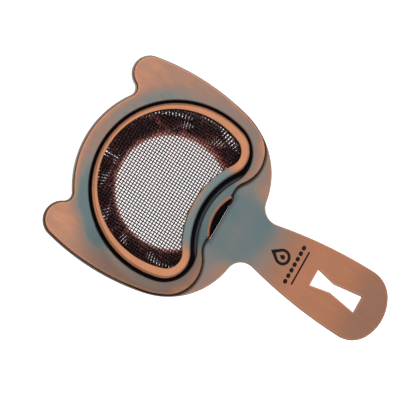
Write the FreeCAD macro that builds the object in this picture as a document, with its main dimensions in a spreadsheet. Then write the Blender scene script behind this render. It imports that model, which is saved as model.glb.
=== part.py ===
"""Hawthorne strainer: a handle plate, a lift-off mesh plate lying on it, and a coil spring below.

Every piece is drawn in ring coordinates, in millimetres: X runs from the centre of the ring
towards the handle, Y across, Z up from the face that sits on the rim of a shaker tin. Each
piece's Placement then moves it into the part's own frame, whose origin is the middle of the
footprint at the lowest point of the spring.
"""
import FreeCAD, Part
import math
import os
import Sketcher

from FreeCAD import Placement, Rotation, Vector

UP = Vector(0, 0, 1)
START, END, CENTRE = 1, 2, 3
ORIGIN, H_AXIS, V_AXIS = -1, -1, -2
SAME = 1e-4

# name, millimetres (angles in degrees), what it is
DIMENSIONS = (
    ("plate_gauge", 1.6, "thickness of each steel plate"),
    ("rest_gap", 0.05, "play between the mesh plate and the handle plate below it"),
    ("edge_round", 0.4, "rounding along the plates' outer edges"),
    ("hole_round", 0.25, "rounding along the holes in the handle plate"),
    ("moat_round", 0.9, "rounding of the mesh plate's edge down into the moat"),
    ("ring_radius", 49.55, "front edge of the handle plate"),
    ("plate_inset", 1.0, "mesh plate's edge, inside the handle plate's round the ring"),
    ("notch_radius", 4.0, "hollow between the front edge and an ear"),
    ("ear_radius", 9.2, "tip of an ear"),
    ("ear_forward", 38.3, "ear tip's centre, ahead of the ring's centre"),
    ("ear_spread", 41.1, "ear tip's centre, off the middle line"),
    ("side_radius", 113.5, "long outer edge of an ear"),
    ("side_forward", 14.64, "centre of that edge, ahead of the ring's centre"),
    ("shoulder_radius", 38.13, "rear corner of the ring"),
    ("shoulder_spread", 12.83, "centre of the rear corner, off the middle line"),
    ("neck_radius", 8.15, "hollow between the ring and the grip"),
    ("grip_radius", 234.5, "long edge of the grip"),
    ("grip_centre", 104.1, "centre of that edge, along the handle"),
    ("corner_radius", 13.8, "corner at the end of the grip"),
    ("corner_spread", 4.3, "centre of that corner, off the middle line"),
    ("tip_radius", 22.5, "end of the grip"),
    ("tip_centre", 95.3, "centre of the end's curve, along the handle"),
    ("hang_near", 78.5, "hanging hole, end near the ring"),
    ("hang_waist", 88.9, "hanging hole, narrowest place"),
    ("hang_far", 103.7, "hanging hole, end near the tip"),
    ("hang_half", 4.5, "hanging hole, half width at its ends"),
    ("hang_waist_half", 2.3, "hanging hole, half width at its waist"),
    ("bowl_radius", 38.05, "round side of the mesh opening"),
    ("lobe_radius", 7.8, "lobe of the mesh opening"),
    ("dent_radius", 45.0, "hollow side of the mesh opening"),
    ("dent_centre", 54.98, "centre of the hollow sides, along the handle"),
    ("rim_shift", 2.0, "centre of the bezel's outer edge, along the handle"),
    ("rim_radius", 42.4, "round side of the bezel's outer edge"),
    ("rim_lobe", 12.8, "lobe of the bezel's outer edge"),
    ("rim_dent", 40.6, "hollow side of the bezel's outer edge"),
    ("moat_shift", 2.2, "centre of the moat's outer edge, along the handle"),
    ("moat_radius", 43.7, "round side of the moat's outer edge"),
    ("moat_lobe", 16.0, "lobe of the moat's outer edge"),
    ("moat_dent", 37.6, "hollow side of the moat's outer edge"),
    ("seat_margin", 2.6, "handle plate's opening, outside the mesh opening"),
    ("cloth_margin", 2.2, "cloth's edge, outside the mesh opening"),
    ("backing_inner", 0.3, "backing ring's inner edge, outside the mesh opening"),
    ("backing_outer", 2.3, "backing ring's outer edge, outside the mesh opening"),
    ("backing_gauge", 0.8, "height of the backing ring"),
    ("cloth_gauge", 0.8, "thickness of the woven cloth, two wires"),
    ("flange_gauge", 0.5, "thickness of the bezel's flange, the floor of the moat"),
    ("flange_play", 0.05, "flange's edge, inside the mesh plate's opening"),
    ("bezel_rise", 1.15, "height of the bezel above the mesh plate"),
    ("bezel_outer_round", 1.5, "rounding of the bezel's outer edge"),
    ("bezel_inner_round", 0.4, "rounding of the bezel's inner edge"),
    ("seam_lobe_radius", 17.0, "mesh plate's rear lobe"),
    ("seam_lobe_spread", 30.5, "centre of that lobe, off the middle line"),
    ("tuck_radius", 9.0, "hollow between a rear lobe and the lip"),
    ("tuck_centre", 33.0, "centre of that hollow, along the handle"),
    ("lip_centre", 43.4, "centre of the lip's curve, along the handle"),
    ("lip_root_radius", 22.8, "curve where the lip starts to bend down"),
    ("lip_half_width", 11.5, "lip's end, off the middle line"),
    ("lip_overlap", 1.0, "how far the lip's flat root reaches into the mesh plate"),
    ("lip_bend", 0.3, "inner radius of the lip's bend"),
    ("tab_radius", 22.3, "round side of the tab that the lip carries in the slot"),
    ("tab_half_width", 11.6, "tab's end, off the middle line"),
    ("tab_back", 26.0, "straight side of the tab, along the handle"),
    ("tab_corner", 1.4, "corner of the tab's straight side"),
    ("slot_radius", 23.0, "round side of the slot that the lip drops into"),
    ("slot_half_width", 12.0, "slot's end, off the middle line"),
    ("slot_back", 26.1, "straight side of the slot, along the handle"),
    ("slot_corner", 1.5, "corner of the slot's straight side"),
    ("coil_radius", 34.0, "centre line of the bent coil"),
    ("coil_diameter", 13.5, "outer diameter of the coil"),
    ("coil_wall", 0.75, "wall of the closed tube that has the coil's weight"),
    ("coil_reach", 320.0, "degrees of the ring that the coil goes round"),
    ("coil_core_reach", 316.0, "the same for the hollow inside it"),
    ("coil_play", 0.3, "gap between the coil and the plate above it"),
    ("wire_diameter", 1.2, "spring wire"),
    ("hook_straight", 6.2, "straight leg of a hook, from the coil's end"),
    ("hook_root", 0.6, "length of that leg inside the coil's end"),
    ("hook_radius", 1.5, "curl of a hook"),
    ("hook_curl", 150.0, "degrees that a hook curls through"),
    ("lug_gap", 4.5, "lug's face, from the coil's end"),
    ("lug_gauge", 1.0, "thickness of a lug"),
    ("lug_width", 7.0, "width of a lug"),
    ("lug_foot_end", 9.0, "end of a lug's foot, from the coil's end"),
    ("lug_drop", 9.6, "depth of a lug below the handle plate"),
    ("lug_bend", 0.6, "inner radius of a lug's bend"),
    ("lug_hole", 1.9, "diameter of the hole for the hook"),
)
VALUE = {name: value for name, value, _ in DIMENSIONS}

doc = FreeCAD.newDocument("hawthorne_strainer")
sheet = doc.addObject("Spreadsheet::Sheet", "Sheet")
for row, (name, value, note) in enumerate(DIMENSIONS, start=1):
    sheet.set(f"A{row}", name)
    sheet.set(f"B{row}", str(value))
    sheet.set(f"C{row}", note)
    sheet.setAlias(f"B{row}", name)
doc.recompute()


class Size:
    """A length with the expression that binds it to the sheet: one cell, or cells added up."""

    def __init__(self, *terms):
        self.value = sum(-VALUE[term[1:]] if term[0] == "-" else VALUE[term] for term in terms)
        signed = [term.replace("-", "-Sheet.") if term[0] == "-" else "+Sheet." + term for term in terms]
        self.text = "".join(signed).lstrip("+")


def new_body(name):
    """An empty body whose Label names its file."""
    made = doc.addObject("PartDesign::Body", name)
    made.Label = name
    return made


def new_sketch(owner, name, role="XY_Plane", height=None):
    """A sketch on one of the body's own origin planes, raised by a Size if one is given."""
    plane = next(feature for feature in owner.Origin.OriginFeatures if feature.Role == role)
    made = owner.newObject("Sketcher::SketchObject", name)
    made.AttachmentSupport = [(plane, "")]
    made.MapMode = "FlatFace"
    if height:
        made.setExpression("AttachmentOffset.Base.z", height.text)
    return made


def constrain(sketch, kind, *where):
    """Add a plain constraint."""
    sketch.addConstraint(Sketcher.Constraint(kind, *where))


def dimension(sketch, kind, where, size):
    """Add a dimension and bind it to the sheet."""
    index = sketch.addConstraint(Sketcher.Constraint(kind, *where, size.value))
    label = f"size{index}"
    sketch.renameConstraint(index, label)
    sketch.setExpression(f"Constraints.{label}", size.text)


class Round:
    """A circle that an outline follows: its centre, its radius and the arc drawn from it."""

    def __init__(self, centre, radius):
        self.centre = centre
        self.radius = radius
        self.index = None

    def flipped(self):
        """The same circle on the other side of the middle line."""
        return Round(Vector(self.centre.x, -self.centre.y, 0), self.radius)

    def angle(self, point):
        """Direction from the centre to a point."""
        return math.atan2(point.y - self.centre.y, point.x - self.centre.x)

    def draw(self, sketch, first, last):
        """Draw the arc that runs anticlockwise from one point to another."""
        circle = Part.Circle(self.centre, UP, self.radius)
        start, end = self.angle(first), self.angle(last)
        if end <= start:
            end += 2 * math.pi
        self.index = sketch.addGeometry(Part.ArcOfCircle(circle, start, end), False)
        return self.index


def meeting(one, other):
    """Where two circles touch, from inside or from outside."""
    apart = other.centre - one.centre
    outside = apart.Length > max(one.radius, other.radius)
    side = 1 if outside or one.radius > other.radius else -1
    return one.centre + apart.normalize() * (side * one.radius)


def touching(fixed, reach, known, given, side):
    """A point at a distance from fixed, with one coordinate given and the other to one side."""
    other = "x" if known == "y" else "y"
    run = given - getattr(fixed, known)
    rest = getattr(fixed, other) + side * math.sqrt(reach ** 2 - run ** 2)
    return Vector(rest, given, 0) if other == "x" else Vector(given, rest, 0)


def between(one, reach_one, other, reach_other, side):
    """A point at given distances from two others, to the left (+1) or right of the line to other."""
    line = other - one
    along = (reach_one ** 2 - reach_other ** 2 + line.Length ** 2) / (2 * line.Length)
    across = math.sqrt(reach_one ** 2 - along ** 2)
    ahead = Vector(line).normalize()
    left = Vector(-ahead.y, ahead.x, 0)
    return one + ahead * along + left * (side * across)


def ring_rounds(inset=0):
    """The circles of the ring's edge, from its front to its rear corner, moved in by an inset."""
    size = VALUE
    front = Round(Vector(0, 0, 0), size["ring_radius"] - inset)
    ear = Round(Vector(-size["ear_forward"], size["ear_spread"], 0), size["ear_radius"] - inset)
    hollow = size["notch_radius"] + inset
    notch = Round(between(front.centre, front.radius + hollow, ear.centre, ear.radius + hollow, 1), hollow)
    side_radius = size["side_radius"] - inset
    side_reach = side_radius - ear.radius
    side = Round(touching(ear.centre, side_reach, "x", -size["side_forward"], -1), side_radius)
    rear_radius = size["shoulder_radius"] - inset
    rear = touching(side.centre, side.radius - rear_radius, "y", size["shoulder_spread"], 1)
    return front, notch, ear, side, Round(rear, rear_radius)


def draw_pair(sketch, chain, hollows):
    """Draw arcs along a chain of touching circles, and the same arcs across the middle line.

    The first and last circles lie on the middle line and are not drawn here. Returns both lists.
    """
    upper, lower = [], []
    for place in range(1, len(chain) - 1):
        before, here, after = chain[place - 1:place + 2]
        entry, leave = meeting(here, before), meeting(here, after)
        mirror = here.flipped()
        low_entry, low_leave = Vector(entry.x, -entry.y, 0), Vector(leave.x, -leave.y, 0)
        if here in hollows:
            here.draw(sketch, entry, leave)
            mirror.draw(sketch, low_leave, low_entry)
        else:
            here.draw(sketch, leave, entry)
            mirror.draw(sketch, low_entry, low_leave)
        upper.append(here)
        lower.append(mirror)
    return upper, lower


def join(sketch, upper, lower, hollows):
    """Make neighbouring arcs tangent, on both sides of the middle line."""
    for place in range(len(upper) - 1):
        here, after = upper[place:place + 2]
        leave = END if here in hollows else START
        entry = START if after in hollows else END
        constrain(sketch, "Tangent", here.index, leave, after.index, entry)
        leave, entry = (START if leave == END else END), (START if entry == END else END)
        constrain(sketch, "Tangent", lower[place].index, leave, lower[place + 1].index, entry)
    for one, other in zip(upper, lower):
        constrain(sketch, "Equal", one.index, other.index)


def size_ring(sketch, front, upper, lower, grow=(), shrink=()):
    """Dimension the ring's circles, with the sheet cells that an inset adds or takes away."""
    notch, ear, side, rear = upper[:4]
    constrain(sketch, "Coincident", front.index, CENTRE, ORIGIN, START)
    dimension(sketch, "Radius", (front.index,), Size("ring_radius", *shrink))
    dimension(sketch, "Radius", (notch.index,), Size("notch_radius", *grow))
    dimension(sketch, "Radius", (ear.index,), Size("ear_radius", *shrink))
    dimension(sketch, "Radius", (side.index,), Size("side_radius", *shrink))
    dimension(sketch, "Radius", (rear.index,), Size("shoulder_radius", *shrink))
    dimension(sketch, "DistanceX", (ear.index, CENTRE, ORIGIN, START), Size("ear_forward"))
    dimension(sketch, "DistanceY", (ORIGIN, START, ear.index, CENTRE), Size("ear_spread"))
    dimension(sketch, "DistanceX", (side.index, CENTRE, ORIGIN, START), Size("side_forward"))
    dimension(sketch, "DistanceY", (ORIGIN, START, rear.index, CENTRE), Size("shoulder_spread"))
    constrain(sketch, "Symmetric", ear.index, CENTRE, lower[1].index, CENTRE, H_AXIS)
    for one, other in ((side, lower[2]), (rear, lower[3])):
        constrain(sketch, "Vertical", one.index, CENTRE, other.index, CENTRE)


def draw_handle_outline(sketch):
    """The handle plate's edge: ring, ears, neck and grip."""
    size = VALUE
    front, notch, ear, side, rear = ring_rounds()
    tip = Round(Vector(size["tip_centre"], 0, 0), size["tip_radius"])
    corner_reach = tip.radius - size["corner_radius"]
    corner_centre = touching(tip.centre, corner_reach, "y", size["corner_spread"], 1)
    corner = Round(corner_centre, size["corner_radius"])
    grip_reach = size["grip_radius"] - corner.radius
    grip = Round(touching(corner.centre, grip_reach, "x", size["grip_centre"], -1), size["grip_radius"])
    hollow = size["neck_radius"]
    neck = Round(between(rear.centre, rear.radius + hollow, grip.centre, grip.radius + hollow, 1), hollow)
    hollows = (notch, neck)
    chain = (front, notch, ear, side, rear, neck, grip, corner, tip)
    upper, lower = draw_pair(sketch, chain, hollows)
    front.draw(sketch, meeting(front, notch), meeting(front, lower[0]))
    tip.draw(sketch, meeting(tip, lower[-1]), meeting(tip, corner))
    join(sketch, upper, lower, hollows)
    constrain(sketch, "Tangent", front.index, START, notch.index, START)
    constrain(sketch, "Tangent", front.index, END, lower[0].index, END)
    constrain(sketch, "Tangent", corner.index, START, tip.index, END)
    constrain(sketch, "Tangent", lower[-1].index, END, tip.index, START)
    size_ring(sketch, front, upper, lower)
    dimension(sketch, "Radius", (neck.index,), Size("neck_radius"))
    dimension(sketch, "Radius", (grip.index,), Size("grip_radius"))
    dimension(sketch, "Radius", (corner.index,), Size("corner_radius"))
    dimension(sketch, "Radius", (tip.index,), Size("tip_radius"))
    dimension(sketch, "DistanceX", (ORIGIN, START, grip.index, CENTRE), Size("grip_centre"))
    dimension(sketch, "DistanceY", (ORIGIN, START, corner.index, CENTRE), Size("corner_spread"))
    dimension(sketch, "DistanceX", (ORIGIN, START, tip.index, CENTRE), Size("tip_centre"))
    constrain(sketch, "PointOnObject", tip.index, CENTRE, H_AXIS)
    for one, other in zip(upper[5:], lower[5:]):
        constrain(sketch, "Vertical", one.index, CENTRE, other.index, CENTRE)


def draw_mesh_plate_outline(sketch):
    """The mesh plate's edge: ring and ears moved in, then two rear lobes and the root of the lip."""
    size = VALUE
    front, notch, ear, side, rear = ring_rounds(size["plate_inset"])
    lobe_reach = rear.radius - size["seam_lobe_radius"]
    lobe_centre = touching(rear.centre, lobe_reach, "y", size["seam_lobe_spread"], 1)
    lobe = Round(lobe_centre, size["seam_lobe_radius"])
    tuck_reach = lobe.radius + size["tuck_radius"]
    tuck = Round(touching(lobe.centre, tuck_reach, "x", size["tuck_centre"], -1), size["tuck_radius"])
    tuck_end = tuck.centre - Vector(tuck.radius, 0, 0)
    hollows = (notch, tuck)
    upper, lower = draw_pair(sketch, (front, notch, ear, side, rear, lobe, tuck), hollows)
    low_tuck = tuck.flipped()
    low_end = Vector(tuck_end.x, -tuck_end.y, 0)
    tuck.draw(sketch, meeting(tuck, lobe), tuck_end)
    low_tuck.draw(sketch, low_end, meeting(low_tuck, lower[-1]))
    upper.append(tuck)
    lower.append(low_tuck)
    front.draw(sketch, meeting(front, notch), meeting(front, lower[0]))
    root = Round(Vector(size["lip_centre"], 0, 0), size["lip_root_radius"])
    root_end = touching(root.centre, root.radius, "x", tuck_end.x, 1)
    low_root_end = Vector(root_end.x, -root_end.y, 0)
    root.draw(sketch, root_end, low_root_end)
    edge = sketch.addGeometry(Part.LineSegment(tuck_end, root_end), False)
    low_edge = sketch.addGeometry(Part.LineSegment(low_root_end, low_end), False)
    join(sketch, upper, lower, hollows)
    constrain(sketch, "Tangent", front.index, START, notch.index, START)
    constrain(sketch, "Tangent", front.index, END, lower[0].index, END)
    constrain(sketch, "Tangent", tuck.index, END, edge, START)
    constrain(sketch, "Coincident", edge, END, root.index, START)
    constrain(sketch, "Coincident", root.index, END, low_edge, START)
    constrain(sketch, "Tangent", low_edge, END, low_tuck.index, START)
    size_ring(sketch, front, upper, lower, ("plate_inset",), ("-plate_inset",))
    dimension(sketch, "Radius", (lobe.index,), Size("seam_lobe_radius"))
    dimension(sketch, "DistanceY", (ORIGIN, START, lobe.index, CENTRE), Size("seam_lobe_spread"))
    dimension(sketch, "Radius", (tuck.index,), Size("tuck_radius"))
    dimension(sketch, "DistanceX", (ORIGIN, START, tuck.index, CENTRE), Size("tuck_centre"))
    for one, other in zip(upper[4:], lower[4:]):
        constrain(sketch, "Vertical", one.index, CENTRE, other.index, CENTRE)
    constrain(sketch, "Vertical", edge)
    constrain(sketch, "Vertical", low_edge)
    constrain(sketch, "PointOnObject", root.index, CENTRE, H_AXIS)
    dimension(sketch, "DistanceX", (ORIGIN, START, root.index, CENTRE), Size("lip_centre"))
    dimension(sketch, "Radius", (root.index,), Size("lip_root_radius"))


class Kidney:
    """The outline of the mesh opening and of what follows it: a bowl, two lobes and a dent."""

    def __init__(self, bowl, lobe, dent, shift=None):
        self.bowl = bowl
        self.lobe = lobe
        self.dent = dent
        self.shift = shift

    def draw(self, sketch):
        """Draw the closed outline and dimension it."""
        bowl = Round(Vector(self.shift.value if self.shift else 0, 0, 0), self.bowl.value)
        dent = Round(Vector(VALUE["dent_centre"], 0, 0), self.dent.value)
        lobe_radius = self.lobe.value
        lobe_centre = between(bowl.centre, bowl.radius - lobe_radius,
                              dent.centre, dent.radius + lobe_radius, 1)
        lobe = Round(lobe_centre, lobe_radius)
        low_lobe = lobe.flipped()
        bowl.draw(sketch, meeting(bowl, lobe), meeting(bowl, low_lobe))
        lobe.draw(sketch, meeting(lobe, dent), meeting(lobe, bowl))
        dent.draw(sketch, meeting(dent, lobe), meeting(dent, low_lobe))
        low_lobe.draw(sketch, meeting(low_lobe, bowl), meeting(low_lobe, dent))
        constrain(sketch, "Tangent", bowl.index, START, lobe.index, END)
        constrain(sketch, "Tangent", lobe.index, START, dent.index, START)
        constrain(sketch, "Tangent", dent.index, END, low_lobe.index, END)
        constrain(sketch, "Tangent", low_lobe.index, START, bowl.index, END)
        constrain(sketch, "Equal", lobe.index, low_lobe.index)
        dimension(sketch, "Radius", (bowl.index,), self.bowl)
        dimension(sketch, "Radius", (lobe.index,), self.lobe)
        dimension(sketch, "Radius", (dent.index,), self.dent)
        constrain(sketch, "PointOnObject", dent.index, CENTRE, H_AXIS)
        dimension(sketch, "DistanceX", (ORIGIN, START, dent.index, CENTRE), Size("dent_centre"))
        if self.shift:
            constrain(sketch, "PointOnObject", bowl.index, CENTRE, H_AXIS)
            dimension(sketch, "DistanceX", (ORIGIN, START, bowl.index, CENTRE), self.shift)
        else:
            constrain(sketch, "Coincident", bowl.index, CENTRE, ORIGIN, START)


def opening_offset(margin):
    """The mesh opening's outline, moved outwards by a margin."""
    return Kidney(Size("bowl_radius", margin), Size("lobe_radius", margin), Size("dent_radius", "-" + margin))


OPENING = Kidney(Size("bowl_radius"), Size("lobe_radius"), Size("dent_radius"))
RIM = Kidney(Size("rim_radius"), Size("rim_lobe"), Size("rim_dent"), Size("rim_shift"))
MOAT = Kidney(Size("moat_radius"), Size("moat_lobe"), Size("moat_dent"), Size("moat_shift"))
FLANGE = Kidney(Size("moat_radius", "-flange_play"), Size("moat_lobe", "-flange_play"),
                Size("moat_dent", "flange_play"), Size("moat_shift"))


def draw_hanging_hole(sketch):
    """An hourglass through the grip: two straight ends and a waist nearer the ring."""
    size = VALUE
    half = size["hang_half"]
    upper = [Vector(size["hang_near"], half, 0), Vector(size["hang_waist"], size["hang_waist_half"], 0),
             Vector(size["hang_far"], half, 0)]
    corners = upper + [Vector(point.x, -point.y, 0) for point in reversed(upper)]
    count = len(corners)
    lines = [sketch.addGeometry(Part.LineSegment(corners[place], corners[(place + 1) % count]), False)
             for place in range(count)]
    for place in range(count):
        constrain(sketch, "Coincident", lines[place], END, lines[(place + 1) % count], START)
    near, waist, far = lines[:3]
    for top, below in ((near, lines[5]), (waist, lines[4]), (far, lines[3])):
        constrain(sketch, "Symmetric", top, START, below, START, H_AXIS)
    dimension(sketch, "DistanceX", (ORIGIN, START, near, START), Size("hang_near"))
    dimension(sketch, "DistanceX", (ORIGIN, START, waist, START), Size("hang_waist"))
    dimension(sketch, "DistanceX", (ORIGIN, START, far, START), Size("hang_far"))
    dimension(sketch, "DistanceY", (ORIGIN, START, near, START), Size("hang_half"))
    dimension(sketch, "DistanceY", (ORIGIN, START, waist, START), Size("hang_waist_half"))
    dimension(sketch, "DistanceY", (ORIGIN, START, far, START), Size("hang_half"))


class HalfMoon:
    """An outline that is round towards the mesh and straight towards the handle."""

    def __init__(self, radius, half_width, back, corner):
        self.radius = radius
        self.half_width = half_width
        self.back = back
        self.corner = corner

    def draw(self, sketch):
        """Draw the closed outline and dimension it."""
        bow = Round(Vector(VALUE["lip_centre"], 0, 0), self.radius.value)
        end = touching(bow.centre, bow.radius, "y", self.half_width.value, -1)
        rounding = self.corner.value
        corner = Round(Vector(self.back.value - rounding, end.y - rounding, 0), rounding)
        low_corner = corner.flipped()
        top = corner.centre + Vector(0, rounding, 0)
        side = corner.centre + Vector(rounding, 0, 0)
        low_end, low_top, low_side = [Vector(point.x, -point.y, 0) for point in (end, top, side)]
        bow.draw(sketch, end, low_end)
        corner.draw(sketch, side, top)
        low_corner.draw(sketch, low_top, low_side)
        cap = sketch.addGeometry(Part.LineSegment(end, top), False)
        wall = sketch.addGeometry(Part.LineSegment(low_side, side), False)
        low_cap = sketch.addGeometry(Part.LineSegment(low_end, low_top), False)
        constrain(sketch, "Coincident", bow.index, START, cap, START)
        constrain(sketch, "Tangent", cap, END, corner.index, END)
        constrain(sketch, "Tangent", corner.index, START, wall, END)
        constrain(sketch, "Tangent", wall, START, low_corner.index, END)
        constrain(sketch, "Tangent", low_corner.index, START, low_cap, END)
        constrain(sketch, "Coincident", low_cap, START, bow.index, END)
        constrain(sketch, "Equal", corner.index, low_corner.index)
        constrain(sketch, "Horizontal", cap)
        constrain(sketch, "Vertical", wall)
        constrain(sketch, "Horizontal", low_cap)
        constrain(sketch, "PointOnObject", bow.index, CENTRE, H_AXIS)
        dimension(sketch, "DistanceX", (ORIGIN, START, bow.index, CENTRE), Size("lip_centre"))
        dimension(sketch, "Radius", (bow.index,), self.radius)
        dimension(sketch, "Radius", (corner.index,), self.corner)
        dimension(sketch, "DistanceX", (ORIGIN, START, wall, END), self.back)
        dimension(sketch, "DistanceY", (ORIGIN, START, bow.index, START), self.half_width)
        dimension(sketch, "DistanceY", (bow.index, END, ORIGIN, START), self.half_width)


SLOT = HalfMoon(Size("slot_radius"), Size("slot_half_width"), Size("slot_back"), Size("slot_corner"))
TAB = HalfMoon(Size("tab_radius"), Size("tab_half_width"), Size("tab_back"), Size("tab_corner"))


def pad(owner, sketch, name, size):
    """Thicken a sketch upwards by a Size."""
    made = owner.newObject("PartDesign::Pad", name)
    made.Profile = sketch
    made.setExpression("Length", size.text)
    doc.recompute()
    return made


def lies_at(thing, height):
    """Whether an edge or a face is level, at a height."""
    box = thing.BoundBox
    return abs(box.ZMin - height) < SAME and abs(box.ZMax - height) < SAME


def level_edges(shape, height):
    """Names of the edges that are level, at a height."""
    return [f"Edge{index}" for index, edge in enumerate(shape.Edges, start=1) if lies_at(edge, height)]


def arcs_among(shape, names, radii):
    """Those of the named edges that are arcs with one of the radii."""
    kept = []
    for name in names:
        curve = shape.getElement(name).Curve
        if hasattr(curve, "Radius") and any(abs(curve.Radius - radius) < SAME for radius in radii):
            kept.append(name)
    return kept


def outline_edges(shape, height):
    """Names of the edges round the outside of the level face at a height."""
    outer = next(face for face in shape.Faces if lies_at(face, height)).OuterWire.Edges
    return [f"Edge{index}" for index, edge in enumerate(shape.Edges, start=1)
            if any(edge.isSame(other) for other in outer)]


def small_hole_edges(shape, height):
    """Names of the edges of the slot and the hanging hole, which lie behind the ring's centre."""
    face = next(face for face in shape.Faces if lies_at(face, height))
    holes = [edge for wire in face.Wires if wire.BoundBox.XMin > 0 for edge in wire.Edges]
    return [f"Edge{index}" for index, edge in enumerate(shape.Edges, start=1)
            if any(edge.isSame(other) for other in holes)]


def round_edges(owner, base, name, edges, size):
    """Round the named edges of a feature."""
    made = owner.newObject("PartDesign::Fillet", name)
    made.Base = (base, edges)
    made.setExpression("Radius", size.text)
    doc.recompute()
    return made


def make_handle_plate():
    """One stamped plate: ring with ears, neck and grip, with its three openings."""
    made = new_body("handle_plate")
    blank = new_sketch(made, "handle_plate_blank")
    draw_handle_outline(blank)
    opening_offset("seat_margin").draw(blank)
    SLOT.draw(blank)
    draw_hanging_hole(blank)
    plate = pad(made, blank, "handle_plate_sheet", Size("plate_gauge"))
    gauge = VALUE["plate_gauge"]
    outer = [name for height in (0, gauge) for name in outline_edges(plate.Shape, height)]
    rounded = round_edges(made, plate, "handle_plate_edges", outer, Size("edge_round"))
    holes = small_hole_edges(rounded.Shape, gauge)
    round_edges(made, rounded, "handle_plate_holes", holes, Size("hole_round"))
    return made


def make_top_plate():
    """The mesh plate: same front and ears, a kidney opening and a stepped-down tab at the rear."""
    made = new_body("top_plate")
    blank = new_sketch(made, "top_plate_blank", height=Size("plate_gauge", "rest_gap"))
    draw_mesh_plate_outline(blank)
    MOAT.draw(blank)
    plate = pad(made, blank, "top_plate_sheet", Size("plate_gauge", "-rest_gap"))
    low = VALUE["plate_gauge"] + VALUE["rest_gap"]
    high = 2 * VALUE["plate_gauge"]
    outer = [name for height in (low, high) for name in outline_edges(plate.Shape, height)]
    rounded = round_edges(made, plate, "top_plate_edges", outer, Size("edge_round"))
    radii = (VALUE["moat_radius"], VALUE["moat_lobe"], VALUE["moat_dent"])
    moat = arcs_among(rounded.Shape, level_edges(rounded.Shape, high), radii)
    round_edges(made, rounded, "top_plate_moat", moat, Size("moat_round"))
    lip_profile = new_sketch(made, "lip_profile", "XZ_Plane")
    draw_lip_profile(lip_profile, low, high)
    lip = made.newObject("PartDesign::Revolution", "lip")
    lip.Profile = lip_profile
    lip.ReferenceAxis = (lip_profile, ["Axis0"])
    lip.Midplane = True
    lip.setExpression("Angle", "2 * asin(Sheet.lip_half_width / Sheet.lip_root_radius)")
    tab_outline = new_sketch(made, "tab_outline", height=Size("rest_gap", "-plate_gauge"))
    TAB.draw(tab_outline)
    pad(made, tab_outline, "tab", Size("plate_gauge", "-rest_gap"))
    return made


def draw_lip_profile(sketch, low, high):
    """The lip's section: flat in the plate, a quarter bend, then straight down through the slot."""
    size = VALUE
    axis = size["lip_centre"]
    root = axis - size["lip_root_radius"]
    begin = root - size["lip_overlap"]
    inner, outer = size["lip_bend"], size["lip_bend"] + high - low
    pivot = low - inner
    tip = low - high
    bend_in = Round(Vector(root, pivot, 0), inner)
    bend_out = Round(Vector(root, pivot, 0), outer)
    corners = (Vector(begin, low, 0), Vector(begin, high, 0), Vector(root, high, 0),
               Vector(root + outer, pivot, 0), Vector(root + outer, tip, 0),
               Vector(root + inner, tip, 0), Vector(root + inner, pivot, 0), Vector(root, low, 0))
    corner, brow, crest, fall, heel, toe, rise, start = corners
    left = sketch.addGeometry(Part.LineSegment(corner, brow), False)
    upper = sketch.addGeometry(Part.LineSegment(brow, crest), False)
    bend_out.draw(sketch, fall, crest)
    right = sketch.addGeometry(Part.LineSegment(fall, heel), False)
    foot = sketch.addGeometry(Part.LineSegment(heel, toe), False)
    inner_wall = sketch.addGeometry(Part.LineSegment(toe, rise), False)
    bend_in.draw(sketch, rise, start)
    lower = sketch.addGeometry(Part.LineSegment(start, corner), False)
    centre_line = sketch.addGeometry(Part.LineSegment(Vector(axis, 0, 0), Vector(axis, high, 0)), True)
    constrain(sketch, "Coincident", left, END, upper, START)
    constrain(sketch, "Tangent", upper, END, bend_out.index, END)
    constrain(sketch, "Tangent", bend_out.index, START, right, START)
    constrain(sketch, "Coincident", right, END, foot, START)
    constrain(sketch, "Coincident", foot, END, inner_wall, START)
    constrain(sketch, "Tangent", inner_wall, END, bend_in.index, START)
    constrain(sketch, "Tangent", bend_in.index, END, lower, START)
    constrain(sketch, "Coincident", lower, END, left, START)
    constrain(sketch, "Coincident", bend_in.index, CENTRE, bend_out.index, CENTRE)
    constrain(sketch, "Vertical", left)
    constrain(sketch, "Horizontal", upper)
    constrain(sketch, "Horizontal", lower)
    constrain(sketch, "Horizontal", foot)
    constrain(sketch, "Vertical", right)
    constrain(sketch, "Vertical", centre_line)
    constrain(sketch, "PointOnObject", centre_line, START, H_AXIS)
    dimension(sketch, "Radius", (bend_in.index,), Size("lip_bend"))
    dimension(sketch, "DistanceX", (ORIGIN, START, centre_line, START), Size("lip_centre"))
    dimension(sketch, "DistanceY", (centre_line, START, centre_line, END), Size("plate_gauge", "plate_gauge"))
    dimension(sketch, "DistanceX", (bend_in.index, CENTRE, centre_line, START), Size("lip_root_radius"))
    dimension(sketch, "DistanceX", (left, START, lower, START), Size("lip_overlap"))
    dimension(sketch, "DistanceY", (ORIGIN, START, left, START), Size("plate_gauge", "rest_gap"))
    dimension(sketch, "DistanceY", (left, START, left, END), Size("plate_gauge", "-rest_gap"))
    dimension(sketch, "DistanceY", (foot, END, ORIGIN, START), Size("plate_gauge", "-rest_gap"))


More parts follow.
